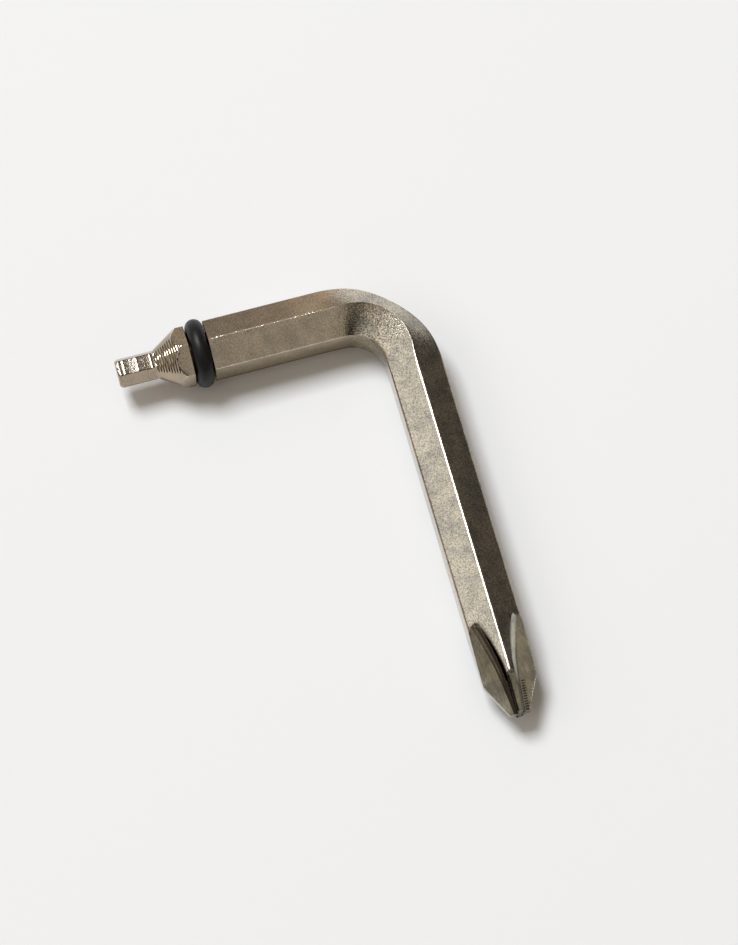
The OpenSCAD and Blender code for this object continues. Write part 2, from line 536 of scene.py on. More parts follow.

# %% [markdown]
# ## Twelve finishes
#
# Each finish is a number from 0 to 1 on every point, kept on the mesh as an attribute that the material
# reads later. Painting by hand would do the same, but a rule stays right when a size changes. Painted
# shade darkens the groove, the flutes, the ribs and the hexagon tip's corners, painted dark lines run along
# edges, painted sheen lightens the upper outer face near the bend and on the collar, the worn edges get
# pale specks that are partly bare metal and partly a painted highlight, and the bend has a finish of its
# own.
# Numbers in the rules are millimetres along the bar and degrees round it.

# %% Finishes on the points
edge_band = 1.6
on_flute = from_end < flute_length
# Painted shade in the flutes: the top wing's wall and, near the end, the flute's bottom are darkened, and on
# the left so are the walls up to the top edge.
in_flute = on_flutes([(flute_bottom, 0.85), (top_wing_wall, 1.0)])
near_end = 1 - np.clip((from_end - 3.2) / 2.4, 0, 1)
flute_shade = np.where(in_flute < 1, in_flute * near_end, 1)
left_flute_shade = on_flutes([(side_wing_wall, 0.15), (up_to_top_edge, 1.0)]) * (across_bar < 0)
before_bend = from_end < arc_start + arc_length / 2
# Painted shade: dark lines along the long arm's corners below its top and along the short arm's lower inner
# corner.
bar_edge = on_bar & (off_corner(np.pi / 2) < edge_band) & (from_top > 20) & before_bend
tip_edge = (off_corner(0.0) < edge_band) & (reach > cone_end + 0.2) & (reach < short_end - 0.3)
lower_edge = on_bar & (off_direction(-np.pi * 5 / 6) < 5.5) & (reach > 5) & (reach < groove_end + 1)
inner_edge = off_direction(np.pi * 5 / 6) < 1.5
in_groove = (reach > groove_start - 0.01) & (reach < groove_end + 0.01) & ~on_bar
worn_stretch = (reach > 7) * (reach < groove_start - 0.1)
# Painted sheen: the upper outer face gets paler towards the bend, where it starts to curve, and on the
# collar.
sheen_near_bend = np.clip((14 - reach) / 3.5, 0, 1) * (reach > 4) * (1 - in_bend)
finishes = {
    "edge": bar_edge | lower_edge,
    "turned": (reach > groove_start) & (reach < cone_end) & ~on_bar,
    "milled": ~on_bar & on_flute,
    # Painted shade: the groove, the hexagon tip's corners and the flutes are darkened almost to black.
    "painted_shade": np.maximum(in_groove | tip_edge, on_flute * np.maximum(flute_shade, left_flute_shade)),
    "small": reach > cone_end,
    "top": (reach > cone_end) & (height_on_bar > tip_half - 0.05),
    # Wear and painted highlight on the short arm's top edge and lower inner edge: the bend tree knocks the
    # edge down here and there, and the plating paints pale specks there.
    "wear_and_highlight": np.maximum(np.clip(1 - from_top / 5, 0, 1), 0.85 * inner_edge) * worn_stretch,
    "bent": in_bend * np.clip(from_top / 4 - 0.5, 0, 1),
    "drawn": in_bend * outside,
    "painted_sheen": np.maximum(sheen_near_bend, on_bar * (reach > groove_end)) * outside * (height_on_bar > 0),
    "short": np.clip((reach - 4) / 4, 0, 1),
    "side": (np.abs(across_bar) > bar_half - on_surface) * np.where(reach > 3, 1.0, 0.6),
}
for name, amount in finishes.items():
    layer = bar_mesh.attributes.new(name, "FLOAT", "POINT")
    layer.data.foreach_set("value", amount.astype(np.float32))
print("finishes:", ", ".join(finishes))

# %% [markdown]
# ## Helpers for node trees
#
# Node trees can be drawn by hand in Blender, but in a script each node takes several lines: make it, set
# its properties, link its inputs. These helpers do that in one call, so a tree reads like the sum it works
# out.

# %% Helpers for nodes
def node(tree, kind, **settings):
    """Adds a node; a setting is one of its properties or the value or link of an input."""
    made = tree.nodes.new(kind)
    for name, value in settings.items():
        if hasattr(made, name):
            setattr(made, name, value)
    for name, value in settings.items():
        if hasattr(made, name):
            continue
        plain = name.replace("_", " ")
        index = int(plain[3:]) if plain.startswith("in ") else None
        socket = made.inputs[index] if index is not None else made.inputs[plain]
        if isinstance(value, bpy.types.NodeSocket):
            tree.links.new(value, socket)
        else:
            socket.default_value = value
    return made


def math(tree, operation, a, b=0.0, c=0.0):
    """A sum of up to three numbers."""
    return node(tree, "ShaderNodeMath", operation=operation, in_0=a, in_1=b, in_2=c).outputs[0]


def vector(tree, operation, a, b):
    """A sum of two vectors."""
    return node(tree, "ShaderNodeVectorMath", operation=operation, in_0=a, in_1=b).outputs[0]


def scaled(tree, a, factor):
    """A vector times a number."""
    return node(tree, "ShaderNodeVectorMath", operation="SCALE", in_0=a, Scale=factor).outputs[0]


def ranged(tree, value, start, end, low, high):
    """Maps a value from one range to another."""
    return node(tree, "ShaderNodeMapRange", in_0=value, in_1=start, in_2=end, in_3=low, in_4=high).outputs[0]


print("helpers:", ", ".join(helper.__name__ for helper in (node, math, vector, scaled, ranged)))

# %% [markdown]
# ## Helpers for geometry
#
# A geometry tree starts with named sizes and ends with real geometry and a material. The last helper runs a
# tree on a piece and keeps the result as a plain mesh, because instances would be lost when the piece is
# handed on. The two materials are made now and filled in later.

# %% Helpers for geometry trees
def new_tree(name, sizes):
    """A geometry node tree with a geometry input and named inputs for its sizes."""
    tree = bpy.data.node_groups.new(name, "GeometryNodeTree")
    tree.interface.new_socket("Geometry", in_out="INPUT", socket_type="NodeSocketGeometry")
    for label, kind in sizes.items():
        tree.interface.new_socket(label, in_out="INPUT", socket_type="NodeSocket" + kind)
    tree.interface.new_socket("Geometry", in_out="OUTPUT", socket_type="NodeSocketGeometry")
    return tree, tree.nodes.new("NodeGroupInput").outputs


def end_tree(tree, geometry, material):
    """Realizes instances, sets the material and hands the geometry out."""
    real = node(tree, "GeometryNodeRealizeInstances", Geometry=geometry).outputs[0]
    clad = node(tree, "GeometryNodeSetMaterial", Geometry=real, Material=material).outputs[0]
    out = tree.nodes.new("NodeGroupOutput")
    tree.links.new(clad, out.inputs[0])


def grow(piece, tree, values):
    """Runs a tree on a piece with its sizes set, and keeps the result as a plain mesh."""
    modifier = piece.modifiers.new(tree.name, "NODES")
    modifier.node_group = tree
    for item in tree.interface.items_tree:
        if item.in_out == "INPUT" and item.name in values:
            modifier[item.identifier] = values[item.name]
    graph = bpy.context.evaluated_depsgraph_get()
    made = bpy.data.meshes.new_from_object(piece.evaluated_get(graph), preserve_all_data_layers=True,
                                           depsgraph=graph)
    piece.modifiers.remove(modifier)
    piece.data = made
    made.name = piece.name
    return made


plated_steel = bpy.data.materials.new("plated_steel")
black_rubber = bpy.data.materials.new("black_rubber")
print("materials to fill in later:", plated_steel.name, black_rubber.name)

# %% [markdown]
# ## The path that the bar is laid on
#
# A press bent the straight bar round a former. Blender's Simple Deform could do something like it, but it
# can't keep the arms exactly straight or draw the metal in. This tree lays each ring on a path instead:
# the path is a corner with a fillet, and a point's distance along the bar picks a place on it.

# %% Path of the bend
bend_tree, bend_in = new_tree("bend_bar", {
    "Long end": "Vector", "Corner": "Vector", "Short end": "Vector", "Bend radius": "Float",
    "Middle of bend": "Float", "Half width": "Float", "Reach": "Float",
    "Drawn in": "Float", "Ridge out": "Float", "Inside in": "Float", "Swell": "Float", "Wear": "Float",
    "Material": "Material",
})
three = node(bend_tree, "GeometryNodeMeshLine", Count=3).outputs[0]
line = node(bend_tree, "GeometryNodeMeshToCurve", Mesh=three).outputs[0]
which = node(bend_tree, "GeometryNodeIndexSwitch", data_type="VECTOR")
which.index_switch_items.new()
bend_tree.links.new(node(bend_tree, "GeometryNodeInputIndex").outputs[0], which.inputs[0])
for number, label in enumerate(("Long end", "Corner", "Short end")):
    bend_tree.links.new(bend_in[label], which.inputs[1 + number])
angle_line = node(bend_tree, "GeometryNodeSetPosition", Geometry=line, Position=which.outputs[0]).outputs[0]
path = node(bend_tree, "GeometryNodeFilletCurve", mode="POLY", Curve=angle_line, Count=96,
            Radius=bend_in["Bend radius"]).outputs[0]
bar_point = node(bend_tree, "GeometryNodeInputPosition").outputs[0]
across, along, up = node(bend_tree, "ShaderNodeSeparateXYZ", Vector=bar_point).outputs
on_path = node(bend_tree, "GeometryNodeSampleCurve", mode="LENGTH", Curves=path, Length=along)
outwards = vector(bend_tree, "CROSS_PRODUCT", on_path.outputs["Tangent"], (0, 0, 1))
print("nodes for the path:", len(bend_tree.nodes))

# %% [markdown]
# ## What bending does to a section
#
# Bending draws the outside in, pushes the top edge outwards and makes the inside bulge. A section that
# stayed the same all the way round would look like a bent pipe, so four sizes change it. The change is
# strongest in the middle of the bend and fades out on the arms. The top edge of the short arm is also
# knocked about a little, so noise lowers it here and there where the worn finish is set.

# %% Shape of the section in the bend
away = math(bend_tree, "ABSOLUTE", math(bend_tree, "SUBTRACT", along, bend_in["Middle of bend"]))
weight = node(bend_tree, "ShaderNodeMapRange", interpolation_type="SMOOTHSTEP", in_0=away, in_1=0.0,
              in_2=bend_in["Reach"], in_3=1.0, in_4=0.0).outputs[0]
share = math(bend_tree, "DIVIDE", across, bend_in["Half width"])
outer = math(bend_tree, "MAXIMUM", share, 0.0)
inner = math(bend_tree, "MAXIMUM", math(bend_tree, "MULTIPLY", share, -1.0), 0.0)
drawn_by = math(bend_tree, "ADD", bend_in["Drawn in"], bend_in["Ridge out"])
bulged_by = math(bend_tree, "ADD", bend_in["Inside in"], bend_in["Ridge out"])
drawn = math(bend_tree, "MULTIPLY", outer, drawn_by)
bulged = math(bend_tree, "MULTIPLY", inner, bulged_by)
shift = math(bend_tree, "SUBTRACT", bend_in["Ridge out"], math(bend_tree, "ADD", drawn, bulged))
new_across = math(bend_tree, "MULTIPLY_ADD", shift, weight, across)
swollen = math(bend_tree, "MULTIPLY", math(bend_tree, "MULTIPLY", inner, bend_in["Swell"]), weight)
wear_and_highlight = node(bend_tree, "GeometryNodeInputNamedAttribute", data_type="FLOAT", Name="wear_and_highlight").outputs[0]
knocks = node(bend_tree, "ShaderNodeTexNoise", Scale=3400.0, Detail=3.0, Roughness=0.6).outputs[0]
knocks = ranged(bend_tree, knocks, 0.47, 0.72, 0.0, 1.0)
wear = math(bend_tree, "MULTIPLY", math(bend_tree, "MULTIPLY", knocks, wear_and_highlight), bend_in["Wear"])
new_up = math(bend_tree, "SUBTRACT", math(bend_tree, "MULTIPLY_ADD", swollen, up, up), wear)
print("nodes with the section's shape:", len(bend_tree.nodes))

# %% [markdown]
# ## Bending the bar
#
# Each point is put beside its place on the path, square to it. The tree's sizes are set on the modifier
# and not in the nodes, so the same tree would bend another bar. Shading is smooth except over edges
# sharper than 30 degrees.

# %% Bent key
sharp_angle = 30
sideways = scaled(bend_tree, outwards, new_across)
lift = node(bend_tree, "ShaderNodeCombineXYZ", Z=new_up).outputs[0]
beside_path = vector(bend_tree, "ADD", on_path.outputs["Position"], sideways)
new_place = vector(bend_tree, "ADD", beside_path, lift)
bent = node(bend_tree, "GeometryNodeSetPosition", Geometry=bend_in["Geometry"], Position=new_place).outputs[0]
end_tree(bend_tree, bent, bend_in["Material"])
bar_mesh = grow(bar, bend_tree, {
    "Long end": (corner + [0, -long_end, 0]) * mm,
    "Corner": corner * mm,
    "Short end": (corner + [-short_end, 0, 0]) * mm,
    "Bend radius": bend_r * mm,
    "Middle of bend": (arc_start + arc_length / 2) * mm,
    "Half width": bar_half * mm,
    "Reach": (arc_length / 2 + 2.2) * mm,
    "Drawn in": 1.0 * mm,
    "Ridge out": 0.4 * mm,
    "Inside in": 0.12 * mm,
    "Swell": 0.1,
    "Wear": 0.03 * mm,
    "Material": plated_steel,
})
bar_mesh.polygons.foreach_set("use_smooth", [True] * len(bar_mesh.polygons))
bar_mesh.set_sharp_from_angle(angle=np.radians(sharp_angle))
bent_points = np.array([v.co for v in bar_mesh.vertices]) * 1000
print("bent key in mm:", bent_points.min(0).round(3), bent_points.max(0).round(3))

# %% [markdown]
# ## Where the ribs and burrs sit
#
# One wall of each wing carries a row of fine ribs that bite into the screw, and the edge of one wing has a
# row of small bright burrs. Both sit on the wall of a flute, so their height is worked out from the flute
# and stays right when the flute changes.

# %% Places on a wing's wall
def wall_height(x, out):
    """Height of a side wing's wall over the middle line, x mm from the end of the tip."""
    floor, root_r = flute_root(x)
    apex = (floor - root_r * root_rise) / np.sqrt(2)
    return apex - (out - apex) * wall_lean


def on_wall(x, out):
    """A point on the wall of a side wing, in metres."""
    return np.array([out, x, wall_height(x, out)]) * mm


def wall_edge(x):
    """Where the wall of a wing ends at the turned cone."""
    return on_wall(x, np.sqrt((tip_flat_r + x * tip_lean) ** 2 - wall_height(x, 2.0) ** 2) - 0.05)


print("wall height in mm at the first and last rib:", wall_height(0.3, 0.98).round(3),
      wall_height(3.62, 1.36).round(3))

# %% [markdown]
# ## Ribs on the wings and burrs on one wing
#
# The ribs were pressed in one by one along a line, so a tree puts one small roof-shaped rib on each point
# of a line and turns the whole row to the four wings. Round beads make the burrs. The copies are instances
# until the end of the tree, so their number is one value.

# %% Tree of ribs and burrs
rib_tree, rib_in = new_tree("rib_rows", {
    "Tip": "Vector", "First rib": "Vector", "Last rib": "Vector", "Ribs": "Int", "Rib size": "Vector",
    "First bead": "Vector", "Last bead": "Vector", "Beads": "Int", "Bead size": "Vector",
    "Material": "Material",
})


def row_of(piece, label, number):
    """Puts copies of a piece on a line between two points."""
    row = node(rib_tree, "GeometryNodeMeshLine", mode="END_POINTS", Count=rib_in[number],
               Start_Location=rib_in["First " + label], in_3=rib_in["Last " + label]).outputs[0]
    piece_size = rib_in[label.capitalize() + " size"]
    return node(rib_tree, "GeometryNodeInstanceOnPoints", Points=row, Instance=piece,
                Scale=piece_size).outputs[0]


def marked(geometry, name):
    """Sets one of the finishes on all points of a geometry."""
    return node(rib_tree, "GeometryNodeStoreNamedAttribute", data_type="FLOAT", domain="POINT",
                Geometry=geometry, Name=name, Value=1.0).outputs[0]


block = node(rib_tree, "GeometryNodeMeshCube", Size=(1.0, 0.7071, 0.7071)).outputs[0]
roof = node(rib_tree, "GeometryNodeTransform", Geometry=block, Rotation=(np.pi / 4, 0, 0)).outputs[0]
# The ribs also get the painted shade finish, a painted shadow that makes each rib a dark tick.
roof = marked(marked(roof, "milled"), "painted_shade")
bead = node(rib_tree, "GeometryNodeMeshUVSphere", Segments=12, Rings=8, Radius=0.5).outputs[0]
rib_row, bead_row = row_of(roof, "rib", "Ribs"), row_of(bead, "bead", "Beads")
rows = node(rib_tree, "GeometryNodeJoinGeometry")
rib_tree.links.new(bead_row, rows.inputs[0])
for quarter_turn in np.arange(4) * np.pi / 2:
    around = node(rib_tree, "GeometryNodeTransform", Geometry=rib_row, Rotation=(0, quarter_turn, 0))
    rib_tree.links.new(around.outputs[0], rows.inputs[0])
set_in = node(rib_tree, "GeometryNodeTransform", Geometry=rows.outputs[0], Translation=rib_in["Tip"])
end_tree(rib_tree, set_in.outputs[0], rib_in["Material"])
print("tree of ribs and burrs:", len(rib_tree.nodes), "nodes")

# %% [markdown]
# ## The rows on the key
#
# A new piece starts as an empty mesh, and the tree fills it. The first and last place of each row are the
# only ones that are given. The ribs and burrs are a piece of their own, so their shapes can change without
# building the bar again.

# %% Ribs and burrs on the key
ribs = bpy.data.objects.new("drive_ribs", bpy.data.meshes.new("drive_ribs"))
bpy.context.collection.objects.link(ribs)
rib_mesh = grow(ribs, rib_tree, {
    "Tip": (corner + [0, -long_end, 0]) * mm,
    "First rib": on_wall(0.3, 0.98),
    "Last rib": on_wall(3.62, 1.36),
    "Ribs": 12,
    "Rib size": np.array([0.42, 0.15, 0.16]) * mm,
    "First bead": wall_edge(0.35),
    "Last bead": wall_edge(3.7),
    "Beads": 11,
    "Bead size": np.array([0.19, 0.25, 0.115]) * mm,
    "Material": plated_steel,
})
print("ribs and burrs:", len(rib_mesh.polygons), "faces")

# %% [markdown]
# ## The rubber ring
#
# The ring is a moulded O-ring. It could be a torus primitive, but a real one isn't perfect: it has a faint
# moulding line round its outside, it leans and wavers a little in its groove, and it is squeezed slightly
# wider than it is high. A circle swept along a circle gives the form, and a size for each of these moves
# its points.

# %% Tree that makes the ring
ring_middle = (ring_low + ring_high) / 2
ring_section_r = (ring_high[0] - ring_low[0]) / 2
ring_r = (ring_high[2] - ring_low[2]) / 2 - ring_section_r
moulding_line = 0.05 * mm
ring_tree, ring_in = new_tree("rubber_ring", {
    "Middle": "Vector", "Ring radius": "Float", "Section radius": "Float", "Line": "Float", "Waver": "Float",
    "Lean": "Float", "Squeeze": "Float", "Material": "Material",
})
hoop, section = (
    node(ring_tree, "GeometryNodeCurvePrimitiveCircle", Resolution=parts, Radius=ring_in[label]).outputs[0]
    for parts, label in ((160, "Ring radius"), (56, "Section radius"))
)
tube = node(ring_tree, "GeometryNodeCurveToMesh", Curve=hoop, Profile_Curve=section).outputs[0]
upright = node(ring_tree, "GeometryNodeTransform", Geometry=tube, Rotation=(0, np.pi / 2, 0)).outputs[0]
ring_point = node(ring_tree, "GeometryNodeInputPosition").outputs[0]
ring_x, ring_y, ring_z = node(ring_tree, "ShaderNodeSeparateXYZ", Vector=ring_point).outputs
turn = math(ring_tree, "ARCTAN2", ring_z, ring_y)
wave = math(ring_tree, "SINE", math(ring_tree, "MULTIPLY_ADD", turn, 3.0, 0.8))
from_axis = node(ring_tree, "ShaderNodeCombineXYZ", Y=ring_y, Z=ring_z).outputs[0]
line_near = ranged(ring_tree, math(ring_tree, "ABSOLUTE", ring_x), 0.0, moulding_line, 1.0, 0.0)
axis_distance = node(ring_tree, "ShaderNodeVectorMath", operation="LENGTH", in_0=from_axis).outputs["Value"]
is_outside = math(ring_tree, "GREATER_THAN", axis_distance, ring_in["Ring radius"])
line_height = math(ring_tree, "MULTIPLY", math(ring_tree, "MULTIPLY", line_near, is_outside), ring_in["Line"])
outward = node(ring_tree, "ShaderNodeVectorMath", operation="NORMALIZE", in_0=from_axis).outputs[0]
leaning = math(ring_tree, "MULTIPLY", math(ring_tree, "SINE", turn), ring_in["Lean"])
waving = math(ring_tree, "MULTIPLY_ADD", wave, ring_in["Waver"], leaning)
waving = math(ring_tree, "MULTIPLY_ADD", ring_x, ring_in["Squeeze"], waving)
push = node(ring_tree, "ShaderNodeCombineXYZ", X=waving).outputs[0]
offset = vector(ring_tree, "ADD", scaled(ring_tree, outward, line_height), push)
shaped = node(ring_tree, "GeometryNodeSetPosition", Geometry=upright, Offset=offset).outputs[0]
seated = node(ring_tree, "GeometryNodeTransform", Geometry=shaped, Translation=ring_in["Middle"]).outputs[0]
end_tree(ring_tree, seated, ring_in["Material"])
print("ring in mm: radius", round(ring_r, 3), "section", round(ring_section_r, 3))

# %% [markdown]
# ## The ring in its groove
#
# The ring's middle and its two radii come from the CAD ring. The section is made a hair thinner, so that
# the moulding line stays inside the CAD ring's size.

# %% Ring in its groove
line_room = 0.015
ring = bpy.data.objects.new("rubber_ring", bpy.data.meshes.new("rubber_ring"))
bpy.context.collection.objects.link(ring)
ring_mesh = grow(ring, ring_tree, {
    "Middle": ring_middle * mm,
    "Ring radius": ring_r * mm,
    "Section radius": (ring_section_r - line_room) * mm,
    "Line": 0.008 * mm,
    "Waver": 0.03 * mm,
    "Lean": 0.07 * mm,
    "Squeeze": 0.09,
    "Material": black_rubber,
})
ring_mesh.polygons.foreach_set("use_smooth", [True] * len(ring_mesh.polygons))
print("rubber ring:", len(ring_mesh.vertices), "points")

# %% [markdown]
# ## Nickel plating: clouds, grain and pits
#
# Plated steel is a metal whose colour is slightly warm. Close up it isn't smooth: it is clouded, and
# finely pitted. A picture could show that, but noise on the object's own coordinates has no seams and any
# sharpness. Three sizes of noise are used. The clouds shift the colour, and are calmer on the short arm.
# The pits darken it in specks, more in the bend and less on cut metal and the short arm. The grain is used
# in later cells.

# %% Clouds, grain and pits
def material_nodes(material):
    """The node tree of a material and its shader."""
    material.use_nodes = True
    return material.node_tree, material.node_tree.nodes["Principled BSDF"]


def noise(tree, spot, scale, detail, roughness):
    """Noise on a position, from about 0 to 1."""
    return node(tree, "ShaderNodeTexNoise", Vector=spot, Scale=scale, Detail=detail,
                Roughness=roughness).outputs[0]


steel, steel_shader = material_nodes(plated_steel)
steel_spot = node(steel, "ShaderNodeTexCoord").outputs["Object"]
clouds = noise(steel, steel_spot, 420.0, 4.0, 0.65)
grain = noise(steel, steel_spot, 3400.0, 3.0, 0.75)
pits = noise(steel, steel_spot, 5800.0, 3.0, 0.6)
finish = {name: node(steel, "ShaderNodeAttribute", attribute_name=name).outputs["Fac"] for name in finishes}
evened = math(steel, "MULTIPLY", finish["short"], 0.5)
even = node(steel, "ShaderNodeMix", in_0=evened, in_2=clouds, in_3=0.52).outputs[0]
cloud_ramp = node(steel, "ShaderNodeValToRGB", Fac=even)
dark_cloud, pale_cloud = cloud_ramp.color_ramp.elements
dark_cloud.position, pale_cloud.position = 0.36, 0.58
dark_cloud.color = (0.505, 0.48, 0.435, 1)
pale_cloud.color = (0.78, 0.71, 0.60, 1)
cut = math(steel, "MAXIMUM", finish["milled"], math(steel, "MULTIPLY", finish["turned"], 0.6))
calm = math(steel, "MULTIPLY_ADD", cut, -0.75, 1.0)
pit_depth = math(steel, "MULTIPLY_ADD", finish["bent"], -0.22, 0.46)
pitted = ranged(steel, pits, 0.36, 0.58, pit_depth, 1.0)
pit_amount = math(steel, "MULTIPLY_ADD", finish["short"], -0.45, calm)
pitted = node(steel, "ShaderNodeMix", in_0=pit_amount, in_2=1.0, in_3=pitted).outputs[0]
coat = scaled(steel, cloud_ramp.outputs[0], pitted)
print("plating so far:", len(steel.nodes), "nodes")

# %% [markdown]
# ## Stains, painted shade and painted sheen on the plating
#
# The plating is darker on cut metal and browner on the sides and the turned end. Painted sheen makes the
# upper outer face paler near the bend and on the collar, painted dark lines run along edges, and painted
# shade makes the groove, the flutes, the ribs and the hexagon tip's corners almost black. Each stain
# multiplies the coat by a colour where a finish is set, which keeps the clouds and pits visible under it.
# The milled walls also have fine streaks along the tip. The worn edges go the other way: there the coat
# is replaced by pale specks that are partly bare metal and partly a painted highlight.

# %% Stains, painted light and shade, and bare metal
def stain(coat, where, colour):
    """Multiplies the coat by a colour where a finish is set."""
    mixed = node(steel, "ShaderNodeMix", data_type="RGBA", blend_type="MULTIPLY", in_0=where, in_6=coat)
    mixed.inputs[7].default_value = colour
    return mixed.outputs[2]


along_tip = vector(steel, "MULTIPLY", steel_spot, (1.0, 0.05, 1.0))
streaks = node(steel, "ShaderNodeTexNoise", Vector=along_tip, Scale=5200.0, Detail=2.0).outputs[0]
streaks = math(steel, "MULTIPLY", ranged(steel, streaks, 0.42, 0.64, 0.0, 0.6), finish["milled"])
dull = math(steel, "MAXIMUM", finish["turned"], math(steel, "SUBTRACT", finish["small"], finish["top"]))
# The groove, flute, rib and tip-corner darkening is painted shade, the paler upper outer face is a painted
# sheen, and the dark edge lines are painted shade; the other stains are the plating's own tones.
for where, colour in (
    (finish["milled"], (0.70, 0.745, 0.73, 1)),
    (finish["bent"], (1.13, 1.13, 1.11, 1)),
    (finish["drawn"], (0.79, 0.78, 0.77, 1)),
    (finish["side"], (0.76, 0.70, 0.60, 1)),
    (streaks, (0.62, 0.60, 0.58, 1)),
    (dull, (0.60, 0.535, 0.465, 1)),
    (finish["top"], (0.54, 0.52, 0.49, 1)),
    (finish["painted_sheen"], (1.42, 1.40, 1.36, 1)),
    (finish["edge"], (0.55, 0.44, 0.34, 1)),
    (finish["painted_shade"], (0.24, 0.21, 0.19, 1)),
):
    coat = stain(coat, where, colour)
# Painted highlight: the pale specks along the worn edges are partly bare metal and partly light caught by the
# rough edge.
worn_highlight_line = ranged(steel, finish["wear_and_highlight"], 0.5, 0.95, 0.0, 0.9)
specks = ranged(steel, grain, 0.40, 0.58, 0.2, 1.0)
bare_and_highlight_specks = math(steel, "MULTIPLY", worn_highlight_line, specks)
bare_and_highlight = node(steel, "ShaderNodeMix", data_type="RGBA", in_0=bare_and_highlight_specks, in_6=coat)
bare_and_highlight.inputs[7].default_value = (0.98, 0.93, 0.83, 1)
steel.links.new(bare_and_highlight.outputs[2], steel_shader.inputs["Base Color"])
print("plating with stains:", len(steel.nodes), "nodes")

# %% [markdown]
# ## Gloss and grain of the plating
#
# A metal's look is mostly what it reflects. The grain makes the gloss uneven and, as a bump, breaks
# reflections into fine specks. It is weaker on cut metal and on the short arm, and the pits add to it in
# the bend. Metal shines at a grazing angle whatever its colour is, so the painted shade also darkens the
# specular tint there.

# %% Gloss and bump of the plating
shade_on_gloss = node(steel, "ShaderNodeMix", data_type="RGBA", in_0=finish["painted_shade"])
shade_on_gloss.inputs[6].default_value = (1, 1, 1, 1)
shade_on_gloss.inputs[7].default_value = (0.06, 0.05, 0.04, 1)
steel.links.new(shade_on_gloss.outputs[2], steel_shader.inputs["Specular Tint"])
steel.links.new(ranged(steel, grain, 0.3, 0.7, 0.09, 0.17), steel_shader.inputs["Roughness"])
short_only = math(steel, "SUBTRACT", finish["short"], finish["small"])
lively = math(steel, "MULTIPLY_ADD", finish["small"], -0.42, calm)
lively = math(steel, "MULTIPLY_ADD", short_only, -0.5, lively)
lively = math(steel, "MULTIPLY_ADD", finish["top"], 0.3, lively)
bent_pits = math(steel, "MULTIPLY", pits, finish["bent"])
relief = math(steel, "MULTIPLY_ADD", bent_pits, 1.2, math(steel, "MULTIPLY", grain, lively))
steel_bump = node(steel, "ShaderNodeBump", Strength=1.0, Distance=0.024 * mm, Height=relief).outputs[0]
steel.links.new(steel_bump, steel_shader.inputs["Normal"])
steel_shader.inputs["Metallic"].default_value = 1.0
print("plated steel:", len(steel.nodes), "nodes")

# %% [markdown]
# ## Rubber
#
# Moulded rubber is almost black with a satin skin. A single dark colour would look like a hole in the
# picture, so one fine noise shifts the colour, the gloss and a slight bump together, as a real skin does.

# %% Black rubber
rubber, rubber_shader = material_nodes(black_rubber)
skin = noise(rubber, node(rubber, "ShaderNodeTexCoord").outputs["Object"], 3500.0, 3.0, 0.6)
skin_ramp = node(rubber, "ShaderNodeValToRGB", Fac=skin)
skin_ramp.color_ramp.elements[0].color = (0.004, 0.004, 0.004, 1)
skin_ramp.color_ramp.elements[1].color = (0.009, 0.009, 0.008, 1)
rubber.links.new(skin_ramp.outputs[0], rubber_shader.inputs["Base Color"])
rubber.links.new(ranged(rubber, skin, 0.3, 0.7, 0.36, 0.5), rubber_shader.inputs["Roughness"])
rubber_shader.inputs["Specular IOR Level"].default_value = 0.28
rubber_bump = node(rubber, "ShaderNodeBump", Strength=0.5, Distance=0.02 * mm, Height=skin).outputs[0]
rubber.links.new(rubber_bump, rubber_shader.inputs["Normal"])
print("black rubber:", len(rubber.nodes), "nodes")

# %% [markdown]
# ## Floor
#
# The key lies on a pale board. It touches the board with the ring and with the long arm's lower edge. The
# key may not be moved, because it stays in the CAD part's frame, so the board is tilted very slightly
# instead.

# %% Pale board
tilt = np.arcsin((ring_r + ring_section_r - bar_corner_r) / (corner[0] - ring_middle[0]))
board_half = 2000.0
rest = corner - np.array([-np.sin(tilt), 0, np.cos(tilt)]) * bar_corner_r
board_corners = []
for x, y in ((-1, -1), (1, -1), (1, 1), (-1, 1)):
    x, y = x * board_half, y * board_half
    board_corners.append((rest + [x * np.cos(tilt), y, x * np.sin(tilt)]) * mm)
board_mesh = bpy.data.meshes.new("board")
board_mesh.from_pydata([tuple(c) for c in board_corners], [], [(0, 1, 2, 3)])
board = bpy.data.objects.new("board", board_mesh)
bpy.context.collection.objects.link(board)
pale = bpy.data.materials.new("pale_board")
board_shader = material_nodes(pale)[1]
board_shader.inputs["Base Color"].default_value = (0.86, 0.86, 0.86, 1)
board_shader.inputs["Roughness"].default_value = 0.9
board_shader.inputs["Specular IOR Level"].default_value = 0.1
board_mesh.materials.append(pale)
print("board tilt in degrees:", round(float(np.degrees(tilt)), 2))

# %% [markdown]
# ## Camera
#
# The photograph was taken from high up and a little to the left, with a long lens. The point that the
# camera aims at, its direction and its distance were fitted to points of the key that it shows, so that
# the render and the photograph can be laid over each other.

# %% Camera
aim = np.array([7.31, 6.97, -2.81])
azimuth, elevation, distance = np.radians(-15.45), np.radians(69.64), 471.6
level_part = np.cos(elevation)
look = np.array([np.sin(azimuth) * level_part, -np.cos(azimuth) * level_part, np.sin(elevation)])
camera = bpy.data.objects.new("camera", bpy.data.cameras.new("camera"))
camera.data.lens = 152.4
camera.data.clip_start = 0.01
camera.location = (aim + look * distance) * mm
camera.rotation_euler = Vector(-look).to_track_quat("-Z", "Y").to_euler()
bpy.context.collection.objects.link(camera)
bpy.context.scene.camera = camera
print("camera in metres:", [round(value, 4) for value in camera.location])

# %% [markdown]
# ## Lamp
#
# A soft lamp stands behind the key at the upper left, where the shadows say it was. A sun lamp would give
# hard shadows and a thin glint, so this is a large area lamp. Two of its sides run along X as nearly as
# they can, because metal shows the shape of its lamp.

